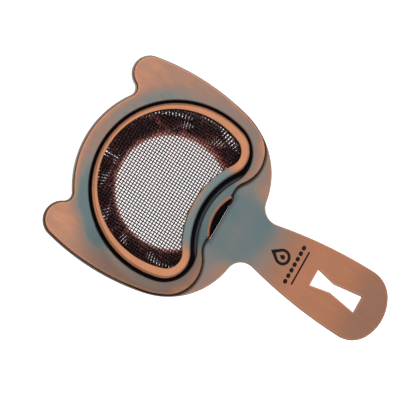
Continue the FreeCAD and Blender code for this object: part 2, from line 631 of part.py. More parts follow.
def make_mesh_bezel():
    """A raised kidney-shaped band round the cloth, on a flange that floors the moat."""
    made = new_body("mesh_bezel")
    base = Size("plate_gauge", "rest_gap")
    flange_outline = new_sketch(made, "bezel_flange_outline", height=base)
    FLANGE.draw(flange_outline)
    OPENING.draw(flange_outline)
    pad(made, flange_outline, "bezel_flange", Size("flange_gauge"))
    band_outline = new_sketch(made, "bezel_band_outline", height=base)
    RIM.draw(band_outline)
    OPENING.draw(band_outline)
    band = pad(made, band_outline, "bezel_band", Size("plate_gauge", "-rest_gap", "bezel_rise"))
    top = 2 * VALUE["plate_gauge"] + VALUE["bezel_rise"]
    outer_radii = (VALUE["rim_radius"], VALUE["rim_lobe"], VALUE["rim_dent"])
    outer = arcs_among(band.Shape, level_edges(band.Shape, top), outer_radii)
    crowned = round_edges(made, band, "bezel_crown", outer, Size("bezel_outer_round"))
    inner_radii = (VALUE["bowl_radius"], VALUE["lobe_radius"], VALUE["dent_radius"])
    inner = arcs_among(crowned.Shape, level_edges(crowned.Shape, top), inner_radii)
    round_edges(made, crowned, "bezel_inner_edge", inner, Size("bezel_inner_round"))
    return made


def make_mesh_screen():
    """The woven cloth as a flat sheet, two wires thick, under the bezel."""
    made = new_body("mesh_screen")
    outline = new_sketch(made, "mesh_screen_outline", height=Size("plate_gauge", "rest_gap", "-cloth_gauge"))
    opening_offset("cloth_margin").draw(outline)
    pad(made, outline, "mesh_screen_sheet", Size("cloth_gauge"))
    return made


def make_backing_ring():
    """The ring under the cloth: it clamps the edge and drops into the handle plate's opening."""
    made = new_body("mesh_backing_ring")
    base = Size("plate_gauge", "rest_gap", "-cloth_gauge", "-backing_gauge")
    outline = new_sketch(made, "backing_ring_outline", height=base)
    opening_offset("backing_outer").draw(outline)
    opening_offset("backing_inner").draw(outline)
    pad(made, outline, "backing_ring_sheet", Size("backing_gauge"))
    return made


def draw_coil_section(sketch, diameter):
    """One circle at the front of the ring, as far below the plate as the coil hangs."""
    half = VALUE["coil_diameter"] / 2
    depth = half + VALUE["coil_play"]
    circle = Part.Circle(Vector(-VALUE["coil_radius"], -depth, 0), UP, diameter.value / 2)
    index = sketch.addGeometry(circle, False)
    dimension(sketch, "DistanceX", (index, CENTRE, ORIGIN, START), Size("coil_radius"))
    place = sketch.addConstraint(Sketcher.Constraint("DistanceY", index, CENTRE, ORIGIN, START, depth))
    sketch.renameConstraint(place, "depth")
    sketch.setExpression("Constraints.depth", "Sheet.coil_diameter / 2 + Sheet.coil_play")
    dimension(sketch, "Diameter", (index,), diameter)


def make_spring_coil():
    """The coil as a closed tube bent into a C, with a wire hook out of each end."""
    made = new_body("spring_coil")
    outer = new_sketch(made, "coil_section", "XZ_Plane")
    draw_coil_section(outer, Size("coil_diameter"))
    tube = made.newObject("PartDesign::Revolution", "coil_tube")
    tube.Profile = outer
    tube.ReferenceAxis = (outer, ["V_Axis"])
    tube.Midplane = True
    tube.setExpression("Angle", "Sheet.coil_reach")
    core = new_sketch(made, "coil_core_section", "XZ_Plane")
    draw_coil_section(core, Size("coil_diameter", "-coil_wall", "-coil_wall"))
    hollow = made.newObject("PartDesign::Groove", "coil_core")
    hollow.Profile = core
    hollow.ReferenceAxis = (core, ["V_Axis"])
    hollow.Midplane = True
    hollow.setExpression("Angle", "Sheet.coil_core_reach")
    doc.recompute()
    half_gap = math.radians(180 - VALUE["coil_reach"] / 2)
    depth = VALUE["coil_diameter"] / 2 + VALUE["coil_play"]
    coil_end = Vector(math.cos(half_gap), math.sin(half_gap), 0) * VALUE["coil_radius"]
    path = new_sketch(made, "hook_path")
    turn = Rotation(UP, math.degrees(half_gap) - 90)
    path.AttachmentOffset = Placement(coil_end - UP * depth, turn)
    straight, radius = VALUE["hook_straight"], VALUE["hook_radius"]
    leg_start = Vector(-VALUE["hook_root"], 0, 0)
    leg = path.addGeometry(Part.LineSegment(leg_start, Vector(straight, 0, 0)), False)
    curl = Round(Vector(straight, radius, 0), radius)
    curl_angle = math.radians(VALUE["hook_curl"] - 90)
    curl_end = curl.centre + Vector(math.cos(curl_angle), math.sin(curl_angle), 0) * radius
    curl.draw(path, Vector(straight, 0, 0), curl_end)
    constrain(path, "Tangent", leg, END, curl.index, START)
    constrain(path, "PointOnObject", leg, START, H_AXIS)
    dimension(path, "Radius", (curl.index,), Size("hook_radius"))
    dimension(path, "DistanceX", (leg, START, ORIGIN, START), Size("hook_root"))
    dimension(path, "DistanceX", (ORIGIN, START, leg, END), Size("hook_straight"))
    constrain(path, "Horizontal", leg)
    doc.recompute()
    section = made.newObject("Sketcher::SketchObject", "hook_section")
    section.AttachmentSupport = [(path, "Edge1")]
    section.MapMode = "NormalToEdge"
    wire = section.addGeometry(Part.Circle(Vector(0, 0, 0), UP, VALUE["wire_diameter"] / 2), False)
    constrain(section, "Coincident", wire, CENTRE, ORIGIN, START)
    dimension(section, "Diameter", (wire,), Size("wire_diameter"))
    doc.recompute()
    hook = made.newObject("PartDesign::AdditivePipe", "hook")
    hook.Profile = section
    hook.Spine = (path, ["Edge1", "Edge2"])
    doc.recompute()
    mirror_plane = next(feature for feature in made.Origin.OriginFeatures if feature.Role == "XZ_Plane")
    pair = made.newObject("PartDesign::Mirrored", "hook_pair")
    pair.Originals = [hook]
    pair.MirrorPlane = (mirror_plane, [""])
    made.Tip = pair
    doc.recompute()
    return made


def make_spring_lug(name, side):
    """A bent lug under the neck: its foot lies against the plate, its leg takes the hook."""
    made = new_body(name)
    size = VALUE
    near, gauge, end = size["lug_gap"], size["lug_gauge"], size["lug_foot_end"]
    inner, outer = size["lug_bend"], size["lug_bend"] + gauge
    section = new_sketch(made, name + "_section", "XZ_Plane")
    pivot = Vector(near + outer, -outer, 0)
    bend_out, bend_in = Round(pivot, outer), Round(pivot, inner)
    top, heel = Vector(pivot.x, 0, 0), Vector(near, -outer, 0)
    under, throat = Vector(pivot.x, -gauge, 0), Vector(near + gauge, -outer, 0)
    toe, sole = Vector(end, 0, 0), Vector(end, -gauge, 0)
    foot_line = section.addGeometry(Part.LineSegment(top, toe), False)
    end_line = section.addGeometry(Part.LineSegment(toe, sole), False)
    sole_line = section.addGeometry(Part.LineSegment(sole, under), False)
    bend_in.draw(section, under, throat)
    back_toe = Vector(near + gauge, -size["lug_drop"], 0)
    face_toe = Vector(near, -size["lug_drop"], 0)
    back_line = section.addGeometry(Part.LineSegment(throat, back_toe), False)
    tip_line = section.addGeometry(Part.LineSegment(back_toe, face_toe), False)
    face_line = section.addGeometry(Part.LineSegment(face_toe, heel), False)
    bend_out.draw(section, top, heel)
    constrain(section, "Coincident", foot_line, END, end_line, START)
    constrain(section, "Coincident", end_line, END, sole_line, START)
    constrain(section, "Tangent", sole_line, END, bend_in.index, START)
    constrain(section, "Tangent", bend_in.index, END, back_line, START)
    constrain(section, "Coincident", back_line, END, tip_line, START)
    constrain(section, "Coincident", tip_line, END, face_line, START)
    constrain(section, "Tangent", face_line, END, bend_out.index, END)
    constrain(section, "Tangent", bend_out.index, START, foot_line, START)
    constrain(section, "PointOnObject", foot_line, START, H_AXIS)
    constrain(section, "Horizontal", foot_line)
    constrain(section, "Vertical", end_line)
    constrain(section, "Horizontal", sole_line)
    constrain(section, "Vertical", back_line)
    constrain(section, "Horizontal", tip_line)
    constrain(section, "Vertical", face_line)
    dimension(section, "DistanceX", (ORIGIN, START, face_line, START), Size("lug_gap"))
    dimension(section, "DistanceX", (ORIGIN, START, foot_line, END), Size("lug_foot_end"))
    dimension(section, "DistanceX", (tip_line, END, tip_line, START), Size("lug_gauge"))
    dimension(section, "DistanceY", (end_line, END, end_line, START), Size("lug_gauge"))
    dimension(section, "DistanceY", (tip_line, END, ORIGIN, START), Size("lug_drop"))
    dimension(section, "Radius", (bend_in.index,), Size("lug_bend"))
    dimension(section, "Radius", (bend_out.index,), Size("lug_bend", "lug_gauge"))
    strip = made.newObject("PartDesign::Pad", name + "_strip")
    strip.Profile = section
    strip.Midplane = True
    strip.setExpression("Length", "Sheet.lug_width")
    doc.recompute()
    hole_sketch = new_sketch(made, name + "_hole_place", "YZ_Plane")
    depth = size["coil_diameter"] / 2 + size["coil_play"]
    circle = hole_sketch.addGeometry(Part.Circle(Vector(0, -depth, 0), UP, size["lug_hole"] / 2), False)
    constrain(hole_sketch, "PointOnObject", circle, CENTRE, V_AXIS)
    place = hole_sketch.addConstraint(Sketcher.Constraint("DistanceY", circle, CENTRE, ORIGIN, START, depth))
    hole_sketch.renameConstraint(place, "depth")
    hole_sketch.setExpression("Constraints.depth", "Sheet.coil_diameter / 2 + Sheet.coil_play")
    dimension(hole_sketch, "Diameter", (circle,), Size("lug_hole"))
    hole = made.newObject("PartDesign::Pocket", name + "_hole")
    hole.Profile = hole_sketch
    hole.Reversed = True
    hole.Type = "ThroughAll"
    doc.recompute()
    half_gap = math.radians(180 - size["coil_reach"] / 2)
    place = Vector(math.cos(half_gap), side * math.sin(half_gap), 0) * size["coil_radius"]
    made.Placement = Placement(place, Rotation(UP, side * (math.degrees(half_gap) - 90)))
    return made


def check(parts):
    """Stop if a feature failed or a piece isn't one sound solid."""
    for item in doc.Objects:
        if "Invalid" in item.State or "Error" in item.State:
            raise RuntimeError(f"{item.Name} is {item.State}")
    for piece in parts:
        shape = piece.Shape
        if shape.isNull() or not shape.isValid() or len(shape.Solids) != 1:
            raise RuntimeError(f"{piece.Label} is not one valid solid")
    holes = [item for item in doc.Objects if item.TypeId in ("PartDesign::Pocket", "PartDesign::Groove")]
    for hole in holes:
        if hole.Shape.Volume >= hole.BaseFeature.Shape.Volume - 1e-3:
            raise RuntimeError(f"{hole.Name} cuts nothing")


def main():
    """Build every piece, move it into the part's frame and write its file."""
    parts = [
        make_handle_plate(),
        make_top_plate(),
        make_mesh_bezel(),
        make_mesh_screen(),
        make_backing_ring(),
        make_spring_coil(),
        make_spring_lug("spring_lug_left", 1),
        make_spring_lug("spring_lug_right", -1),
    ]
    length_middle = (VALUE["tip_centre"] + VALUE["tip_radius"] - VALUE["ring_radius"]) / 2
    seat_height = VALUE["coil_diameter"] + VALUE["coil_play"]
    shift = Vector(-length_middle, 0, seat_height)
    for piece in parts:
        piece.Placement = Placement(shift, Rotation()).multiply(piece.Placement)
    doc.recompute()
    check(parts)
    os.makedirs("parts", exist_ok=True)
    for piece in parts:
        piece.Shape.exportStep(f"parts/{piece.Label}.step")
        box = piece.Shape.BoundBox
        print(f"{piece.Label:20s} volume {piece.Shape.Volume:9.1f}  x {box.XMin:7.2f} {box.XMax:7.2f}"
              f"  y {box.YMin:7.2f} {box.YMax:7.2f}  z {box.ZMin:6.2f} {box.ZMax:6.2f}")


main()
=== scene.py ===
import math

import bpy
import numpy as np
from mathutils import Matrix, Vector


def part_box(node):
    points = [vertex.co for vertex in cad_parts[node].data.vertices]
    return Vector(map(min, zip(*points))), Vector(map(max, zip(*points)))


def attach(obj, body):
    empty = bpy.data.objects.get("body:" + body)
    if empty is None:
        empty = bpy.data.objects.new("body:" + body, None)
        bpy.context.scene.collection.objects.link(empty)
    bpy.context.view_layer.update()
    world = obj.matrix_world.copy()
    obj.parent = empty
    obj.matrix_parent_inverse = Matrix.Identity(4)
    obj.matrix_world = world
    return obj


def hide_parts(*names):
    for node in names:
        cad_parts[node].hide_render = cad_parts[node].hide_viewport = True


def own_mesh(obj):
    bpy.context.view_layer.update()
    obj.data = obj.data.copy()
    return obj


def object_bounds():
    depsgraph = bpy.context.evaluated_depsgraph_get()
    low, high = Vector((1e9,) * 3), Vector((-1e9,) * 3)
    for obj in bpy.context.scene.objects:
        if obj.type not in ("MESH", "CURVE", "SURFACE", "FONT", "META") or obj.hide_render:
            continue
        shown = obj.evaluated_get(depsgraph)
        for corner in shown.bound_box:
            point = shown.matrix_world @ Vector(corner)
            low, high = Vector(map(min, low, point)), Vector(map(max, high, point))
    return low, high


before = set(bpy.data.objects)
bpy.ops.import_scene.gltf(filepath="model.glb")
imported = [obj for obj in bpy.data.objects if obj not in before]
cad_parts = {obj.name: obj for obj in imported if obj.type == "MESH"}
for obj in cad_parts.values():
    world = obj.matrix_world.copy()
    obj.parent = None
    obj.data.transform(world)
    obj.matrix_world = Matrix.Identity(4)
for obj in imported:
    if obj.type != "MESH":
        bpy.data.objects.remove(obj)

cad_low, cad_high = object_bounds()

# Hawthorne strainer: the woven cloth, the wound spring, the mark on the grip and every finish.
# Sizes are in millimetres unless a comment says otherwise. Ring coordinates start in the middle
# of the ring, with x along the handle and y across it. Both sides have the same outline, and
# "wide" stands for |y|.

# ---------------------------------------------------------------- sizes
MM = 0.001
RING_RADIUS = 49.55  # front edge of the handle plate
BOWL_RADIUS, LOBE_RADIUS, DENT_RADIUS = 38.05, 7.8, 45.0  # the opening's round side, lobes and hollow side
DENT_CENTRE = 54.98
SIDE_CENTRE, SIDE_RADIUS = (-14.64, -60.48), 113.5  # long outer edge of an ear
SHOULDER_CENTRE, SHOULDER_RADIUS = (2.86, 12.83), 38.13  # rear corner of the ring
EAR_TIP = (-38.3, 41.1)
REAR_LOBE = (12.5, 30.5)
GLOW = (38.8, 22.6)  # middle of a copper patch on a rear corner
LIP_CENTRE, LIP_RADIUS = 43.4, 22.8
SLOT_BACK = 26.1  # straight side of the slot

CLOTH_MARGIN = 2.0  # cloth's edge, outside the opening
CLOTH_PITCH_X, CLOTH_PITCH_Y = 1.46, 1.42
CLOTH_HALF_WIDTH, CLOTH_HALF_HEIGHT, CLOTH_WAVE = 0.27, 0.23, 0.2
CLOTH_STEPS, CLOTH_SIDES = 4, 6  # points in each pitch, and sides of a wire

COIL_RADIUS, COIL_DIAMETER = 34.0, 13.5
COIL_GAP = 20.0  # degrees from the middle line to each end
COIL_TURNS, TURN_STEPS, WIRE_SIDES = 128, 22, 9
SPRING_RADIUS = 0.6  # of the wire
COIL_GAPS, GAP_TURNS, GAP_EXTRA = (0.494, 0.506), 0.5, 0.3  # two looser turns at the front
TAPER_TURNS = 0.7  # an end's turn narrows down to the hook
HOOK_START, HOOK_STRAIGHT, HOOK_RADIUS, HOOK_CURL = 0.8, 6.2, 1.5, 150.0

# each drop's tip, centre and radius
DROP_OUTER, DROP_INNER, DROP_CORE = (19.6, 26.2, 4.0), (22.3, 26.2, 2.6), (24.6, 26.4, 1.1)
DOT_X, DOT_PITCH, DOT_HALF_LENGTH, DOT_HALF_WIDTH, DOTS_EACH_SIDE = 33.1, 3.1, 1.2, 1.0, 3
LINE_X, LINE_HALF_LENGTH, LINE_HALF_WIDTH = 36.4, 9.2, 0.4
MARK_SUNK, MARK_GAUGE = 0.01, 0.022

EDGE_LINE_REACH, BEZEL_EDGE_LINE_REACH, MARGIN_REACH = 0.0012, 0.0006, 0.0015  # metres in from an edge

plate_low, plate_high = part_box("handle_plate")
coil_low, coil_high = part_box("spring_coil")
cloth_low, cloth_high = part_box("mesh_screen")
top_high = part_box("top_plate")[1]
ring_x = plate_low[0] / MM + RING_RADIUS
coil_z = (coil_low[2] + coil_high[2]) / 2 / MM
cloth_z = (cloth_low[2] + cloth_high[2]) / 2 / MM
plate_top = plate_high[2] / MM
mesh_plate_top = top_high[2] / MM


# ---------------------------------------------------------------- mesh helpers
def mesh_object(name, points, faces):
    """A smooth-shaded object from points in part millimetres."""
    mesh = bpy.data.meshes.new(name)
    mesh.from_pydata((np.asarray(points) * MM).tolist(), [], faces)
    mesh.validate()
    mesh.shade_smooth()
    made = bpy.data.objects.new(name, mesh)
    bpy.context.scene.collection.objects.link(made)
    return made


def sweep(path, radius, sides, upright=None):
    """Points and faces of a wire along a path, with closed ends: round, or with a second radius upright."""
    upright = upright or radius
    path = np.asarray(path, float)
    heading = np.gradient(path, axis=0)
    heading /= np.linalg.norm(heading, axis=1)[:, None]
    helper = np.array([0.0, 0.0, 1.0]) if abs(heading[0][2]) < 0.9 else np.array([0.0, 1.0, 0.0])
    side = np.cross(heading[0], helper)
    side /= np.linalg.norm(side)
    turn = np.linspace(0, 2 * math.pi, sides, endpoint=False)
    across, above = radius * np.cos(turn)[:, None], upright * np.sin(turn)[:, None]
    rings = []
    for centre, along in zip(path, heading):
        side = side - along * np.dot(side, along)
        side /= np.linalg.norm(side)
        rings.append(centre + across * side + above * np.cross(along, side))
    faces = []
    for ring in range(len(path) - 1):
        base = ring * sides
        for place in range(sides):
            after = (place + 1) % sides
            faces.append((base + place, base + after, base + sides + after, base + sides + place))
    last = (len(path) - 1) * sides
    faces.append(tuple(reversed(range(sides))))
    faces.append(tuple(last + place for place in range(sides)))
    return np.concatenate(rings), faces


def gather(parts):
    """One set of points and faces from several."""
    points, faces, count = [], [], 0
    for some_points, some_faces in parts:
        points.append(some_points)
        faces.extend(tuple(count + corner for corner in face) for face in some_faces)
        count += len(some_points)
    return np.concatenate(points), faces


# ---------------------------------------------------------------- woven cloth
def lobe_centre(margin):
    """Centre of the upper lobe of the opening's outline, moved outwards by a margin."""
    bowl, dent, lobe = BOWL_RADIUS + margin, DENT_RADIUS - margin, LOBE_RADIUS + margin
    reach_bowl, reach_dent = bowl - lobe, dent + lobe
    along = (reach_bowl ** 2 - reach_dent ** 2 + DENT_CENTRE ** 2) / (2 * DENT_CENTRE)
    return np.array([along, math.sqrt(reach_bowl ** 2 - along ** 2)])


def in_opening(x, y, margin):
    """Whether points lie inside the kidney-shaped opening grown by a margin."""
    y = np.abs(y)
    bowl, dent, lobe = BOWL_RADIUS + margin, DENT_RADIUS - margin, LOBE_RADIUS + margin
    inside = (np.hypot(x, y) < bowl) & (np.hypot(x - DENT_CENTRE, y) > dent)
    centre = lobe_centre(margin)
    outward = centre / np.linalg.norm(centre)
    inward = np.array([DENT_CENTRE, 0.0]) - centre
    inward /= np.linalg.norm(inward)
    across_x, across_y = x - centre[0], y - centre[1]
    beyond_bowl = across_x * outward[1] - across_y * outward[0] > 0
    beyond_dent = across_x * inward[1] - across_y * inward[0] < 0
    beyond_lobe = np.hypot(across_x, across_y) > lobe
    return inside & ~(beyond_bowl & beyond_dent & beyond_lobe)


def stretches(inside):
    """Start and end indexes of each run of True values."""
    padded = np.concatenate([[False], inside, [False]]).astype(int)
    change = np.flatnonzero(np.diff(padded))
    return list(zip(change[::2], change[1::2] - 1))


def woven_cloth():
    """Plain weave of lightly rolled wires in both directions, cut to the opening's shape."""
    parts = []
    reach = BOWL_RADIUS + CLOTH_MARGIN
    for along_x in (True, False):
        run_pitch = CLOTH_PITCH_X if along_x else CLOTH_PITCH_Y
        row_pitch = CLOTH_PITCH_Y if along_x else CLOTH_PITCH_X
        rows = int(reach / row_pitch) + 1
        last_tick = (int(reach / run_pitch) + 1) * CLOTH_STEPS
        ticks = np.arange(-last_tick, last_tick + 1)
        run = ticks * run_pitch / CLOTH_STEPS
        wave = np.cos(math.pi * ticks / CLOTH_STEPS) * CLOTH_WAVE
        for row in range(-rows, rows + 1):
            across = np.full_like(run, row * row_pitch)
            sign = (1 if row % 2 == 0 else -1) * (1 if along_x else -1)
            x, y = (run, across) if along_x else (across, run)
            for first, last in stretches(in_opening(x, y, CLOTH_MARGIN)):
                if last - first < 2:
                    continue
                cut = slice(first, last + 1)
                path = np.stack([x[cut] + ring_x, y[cut], cloth_z + sign * wave[cut]], axis=1)
                parts.append(sweep(path, CLOTH_HALF_WIDTH, CLOTH_SIDES, CLOTH_HALF_HEIGHT))
    return mesh_object("woven_cloth", *gather(parts))


# ---------------------------------------------------------------- coil spring
def hook(angle, side):
    """The straight leg and the curl beyond the coil's end at an angle, in part millimetres."""
    end = np.array([math.cos(angle), side * math.sin(angle)]) * COIL_RADIUS
    ahead = np.array([math.sin(angle), -side * math.cos(angle)])
    left = np.array([-ahead[1], ahead[0]]) * side
    points = [end + ahead * distance for distance in np.linspace(HOOK_START, HOOK_STRAIGHT, 8)]
    curl = end + ahead * HOOK_STRAIGHT + left * HOOK_RADIUS
    for turn in np.radians(np.linspace(0, HOOK_CURL, 14))[1:]:
        points.append(curl + HOOK_RADIUS * (ahead * math.sin(turn) - left * math.cos(turn)))
    return np.array([[x + ring_x, y, coil_z] for x, y in points])


def coil_spring():
    """Wire wound in close turns along a C, looser near its ends, each end drawn out into a hook."""
    share = np.linspace(0, 1, COIL_TURNS * TURN_STEPS + 1)
    spacing = 1 + 0.03 * np.abs(2 * share - 1) ** 3
    for waves, start in ((8.3, 0), (21.7, 1)):
        spacing += 0.006 * np.sin(2 * math.pi * waves * share + start)
    for gap_place in COIL_GAPS:
        spacing += GAP_EXTRA * np.exp(-((share - gap_place) * COIL_TURNS / GAP_TURNS) ** 2)
    done = np.concatenate([[0.0], np.cumsum((spacing[1:] + spacing[:-1]) / 2)])
    gap = math.radians(COIL_GAP)
    angle = gap + (2 * math.pi - 2 * gap) * done / done[-1]
    winding = 2 * math.pi * COIL_TURNS * share
    taper = np.clip(np.minimum(share, 1 - share) * COIL_TURNS / TAPER_TURNS, 0, 1)
    coil = (COIL_DIAMETER / 2 - SPRING_RADIUS) * np.sin(taper * math.pi / 2)
    reach = COIL_RADIUS + coil * np.cos(winding)
    height = coil_z + coil * np.sin(winding)
    path = np.stack([reach * np.cos(angle) + ring_x, reach * np.sin(angle), height], axis=1)
    path = np.concatenate([hook(gap, 1)[::-1], path, hook(gap, -1)])
    return mesh_object("coil_spring", *sweep(path, SPRING_RADIUS, WIRE_SIDES))


# ---------------------------------------------------------------- mark on the grip
def outline_strip(outer, inner, height, gauge):
    """A flat closed band between two outlines with the same number of points."""
    count = len(outer)
    levels = []
    for level in (height, height + gauge):
        for outline in (outer, inner):
            levels.append(np.column_stack([outline, np.full(count, level)]))
    faces = []
    for place in range(count):
        after = (place + 1) % count
        low_out, low_in, high_out, high_in = (place + count * k for k in range(4))
        low_out2, low_in2, high_out2, high_in2 = (after + count * k for k in range(4))
        faces.append((high_out, high_out2, high_in2, high_in))
        faces.append((low_out, low_in, low_in2, low_out2))
        faces.append((low_out, low_out2, high_out2, high_out))
        faces.append((low_in, high_in, high_in2, low_in2))
    return np.concatenate(levels), faces


def prism(outline, height, gauge):
    """A thin closed plate of an outline that runs anticlockwise."""
    count = len(outline)
    points = [np.column_stack([outline, np.full(count, level)]) for level in (height, height + gauge)]
    faces = [tuple(reversed(range(count))), tuple(range(count, 2 * count))]
    for place in range(count):
        after = (place + 1) % count
        faces.append((place, after, after + count, place + count))
    return np.concatenate(points), faces


def drop_outline(tip, centre, radius):
    """A drop: a round end and two straight flanks that meet in a tip towards the ring."""
    open_angle = math.acos(radius / (centre - tip))
    turn = np.linspace(-(math.pi - open_angle), math.pi - open_angle, 40)
    round_end = np.column_stack([centre + radius * np.cos(turn), radius * np.sin(turn)])
    return np.vstack([round_end, [[tip, 0.0]]])


def bar_outline(x, y, half_length, half_width):
    """A bar across the grip with round ends."""
    turn = np.linspace(0, math.pi, 12)
    across = half_width * np.cos(turn)
    beyond = half_length - half_width + half_width * np.sin(turn)
    return np.vstack([np.column_stack([x + across, y + beyond]), np.column_stack([x - across, y - beyond])])


def laser_mark():
    """A drop, a row of dots and a thin line: a neutral decoration on the grip."""
    height = plate_top - MARK_SUNK
    outer, inner = drop_outline(*DROP_OUTER), drop_outline(*DROP_INNER)
    outlines = [drop_outline(*DROP_CORE)]
    for place in range(-DOTS_EACH_SIDE, DOTS_EACH_SIDE + 1):
        outlines.append(bar_outline(DOT_X, place * DOT_PITCH, DOT_HALF_LENGTH, DOT_HALF_WIDTH))
    outlines.append(bar_outline(LINE_X, 0.0, LINE_HALF_LENGTH, LINE_HALF_WIDTH))
    parts = [outline_strip(outer, inner, height, MARK_GAUGE)]
    parts += [prism(outline, height, MARK_GAUGE) for outline in outlines]
    made = mesh_object("laser_mark", *gather(parts))
    made.data.shade_flat()
    return made


# ---------------------------------------------------------------- shader helpers
def linear(red, green, blue):
    """A colour given as 8-bit screen values, as linear RGBA."""
    def one(value):
        value /= 255
        return value / 12.92 if value <= 0.04045 else ((value + 0.055) / 1.055) ** 2.4
    return (one(red), one(green), one(blue), 1.0)


class Graph:
    """Builds one material out of nodes."""

    def __init__(self, name):
        self.material = bpy.data.materials.new(name)
        self.material.use_nodes = True
        self.tree = self.material.node_tree
        self.tree.nodes.clear()

    def node(self, kind, settings=None, **sockets):
        """A node with its settings; a socket's spaces are written as underscores."""
        made = self.tree.nodes.new(kind)
        for key, value in (settings or {}).items():
            setattr(made, key, value)
        for key, value in sockets.items():
            self.feed(made.inputs[key.replace("_", " ")], value)
        return made

    def feed(self, socket, value):
        """Link a socket to another one, or set its value."""
        if isinstance(value, bpy.types.NodeSocket):
            self.tree.links.new(value, socket)
        else:
            socket.default_value = value

    # ------------------------------------------------ numbers
    def math(self, operation, *values, clamp=False):
        made = self.node("ShaderNodeMath", {"operation": operation, "use_clamp": clamp})
        for place, value in enumerate(values):
            self.feed(made.inputs[place], value)
        return made.outputs[0]

    def plus(self, first, second, clamp=False):
        return self.math("ADD", first, second, clamp=clamp)

    def minus(self, first, second):
        return self.math("SUBTRACT", first, second)

    def times(self, first, second):
        return self.math("MULTIPLY", first, second)

    def most(self, first, second):
        return self.math("MAXIMUM", first, second)

    def spread(self, value, share):
        """A value about one half, as a share about nothing."""
        return self.times(self.minus(value, 0.5), share)

    def fade(self, value, start, end, low=0.0, high=1.0):
        """A smooth step of a value between two limits."""
        made = self.node("ShaderNodeMapRange", {"interpolation_type": "SMOOTHSTEP"},
                         Value=value, From_Min=start, From_Max=end, To_Min=low, To_Max=high)
        return made.outputs[0]

    def band(self, value, low, peak, high):
        """One at a peak, falling smoothly to nothing at a low and a high limit."""
        return self.times(self.fade(value, low, peak), self.fade(value, peak, high, 1.0, 0.0))

    # ------------------------------------------------ colours
    def mix(self, amount, first, second):
        """Two colours mixed."""
        made = self.node("ShaderNodeMix", {"data_type": "RGBA"})
        for place, value in ((0, amount), (6, first), (7, second)):
            self.feed(made.inputs[place], value)
        return made.outputs[2]

    def ramp(self, value, stops):
        """A colour ramp with stops of (place, colour)."""
        made = self.node("ShaderNodeValToRGB", Fac=value)
        made.color_ramp.interpolation = "LINEAR"
        items = made.color_ramp.elements
        while len(items) < len(stops):
            items.new(0.5)
        for item, (place, colour) in zip(items, stops):
            item.position = place
            item.color = colour
        return made.outputs[0]

    def shaded(self, colour, shade):
        """A colour made lighter or darker by a factor."""
        grey = self.node("ShaderNodeCombineColor", Red=shade, Green=shade, Blue=shade).outputs[0]
        made = self.node("ShaderNodeMix", {"data_type": "RGBA", "blend_type": "MULTIPLY"})
        for place, value in ((0, 1.0), (6, colour), (7, grey)):
            self.feed(made.inputs[place], value)
        return made.outputs[2]

    # ------------------------------------------------ patterns and places
    def noise(self, vector, scale, detail=2.0, roughness=0.5):
        return self.node("ShaderNodeTexNoise", Vector=vector, Scale=scale, Detail=detail,
                         Roughness=roughness).outputs[0]

    def stretched(self, vector, scale):
        return self.node("ShaderNodeMapping", Vector=vector, Scale=scale).outputs[0]

    def place(self):
        """The surface point in ring millimetres: vector, x, y, z and |y|."""
        coordinates = self.node("ShaderNodeTexCoord").outputs["Object"]
        moved = self.node("ShaderNodeMapping", Vector=coordinates, Location=(-ring_x, 0, 0),
                          Scale=(1 / MM, 1 / MM, 1 / MM)).outputs[0]
        parts = self.node("ShaderNodeSeparateXYZ", Vector=moved).outputs
        return moved, parts[0], parts[1], parts[2], self.math("ABSOLUTE", parts[1])

    def distance(self, x, y, centre):
        """Distance from a vertical axis through a centre."""
        from_x, from_y = self.minus(x, centre[0]), self.minus(y, centre[1])
        return self.math("SQRT", self.plus(self.times(from_x, from_x), self.times(from_y, from_y)))

    def upward(self):
        """The upward share of the surface's normal."""
        normal = self.node("ShaderNodeNewGeometry").outputs["Normal"]
        return self.node("ShaderNodeSeparateXYZ", Vector=normal).outputs[2]

    def not_below(self):
        """Nothing on a piece's underside, one elsewhere."""
        return self.fade(self.upward(), -0.9, -0.6)

    def opening(self, distance, low, high):
        """How open the point is: nothing in a crevice, one on a free surface."""
        made = self.node("ShaderNodeAmbientOcclusion", {"samples": 8}, Distance=distance)
        return self.fade(made.outputs["AO"], low, high)

    def near_edge(self, distance):
        """How close the point is to its piece's outward edges: nothing at a distance, one at the edge."""
        made = self.node("ShaderNodeAmbientOcclusion",
                         {"samples": 8, "inside": True, "only_local": True}, Distance=distance)
        return self.fade(made.outputs["AO"], 1.0, 0.5)

    # ------------------------------------------------ surface
    def bump(self, height, strength, distance):
        return self.node("ShaderNodeBump", Height=height, Strength=strength, Distance=distance).outputs[0]

    def surface(self, colour, roughness, bump, metallic=1.0, **sockets):
        shader = self.node("ShaderNodeBsdfPrincipled", Base_Color=colour, Roughness=roughness,
                           Metallic=metallic, Normal=bump, **sockets)
        return self.finished(shader)

    def finished(self, shader):
        output = self.node("ShaderNodeOutputMaterial")
        self.tree.links.new(shader.outputs[0], output.inputs["Surface"])
        return self.material


# ---------------------------------------------------------------- colours
# copper on the two plates, from bright worn metal to blue-green patina
ANTIQUE = (
    (0.00, linear(192, 137, 107)),
    (0.18, linear(174, 125, 100)),
    (0.36, linear(160, 120, 101)),
    (0.56, linear(146, 118, 104)),
    (0.76, linear(133, 123, 115)),
    (1.00, linear(104, 119, 120)),
)
# brown copper on the grip
GRIP = (
    (0.00, linear(190, 129, 98)),
    (0.35, linear(170, 115, 87)),
    (0.70, linear(152, 112, 92)),
    (1.00, linear(128, 108, 98)),
)
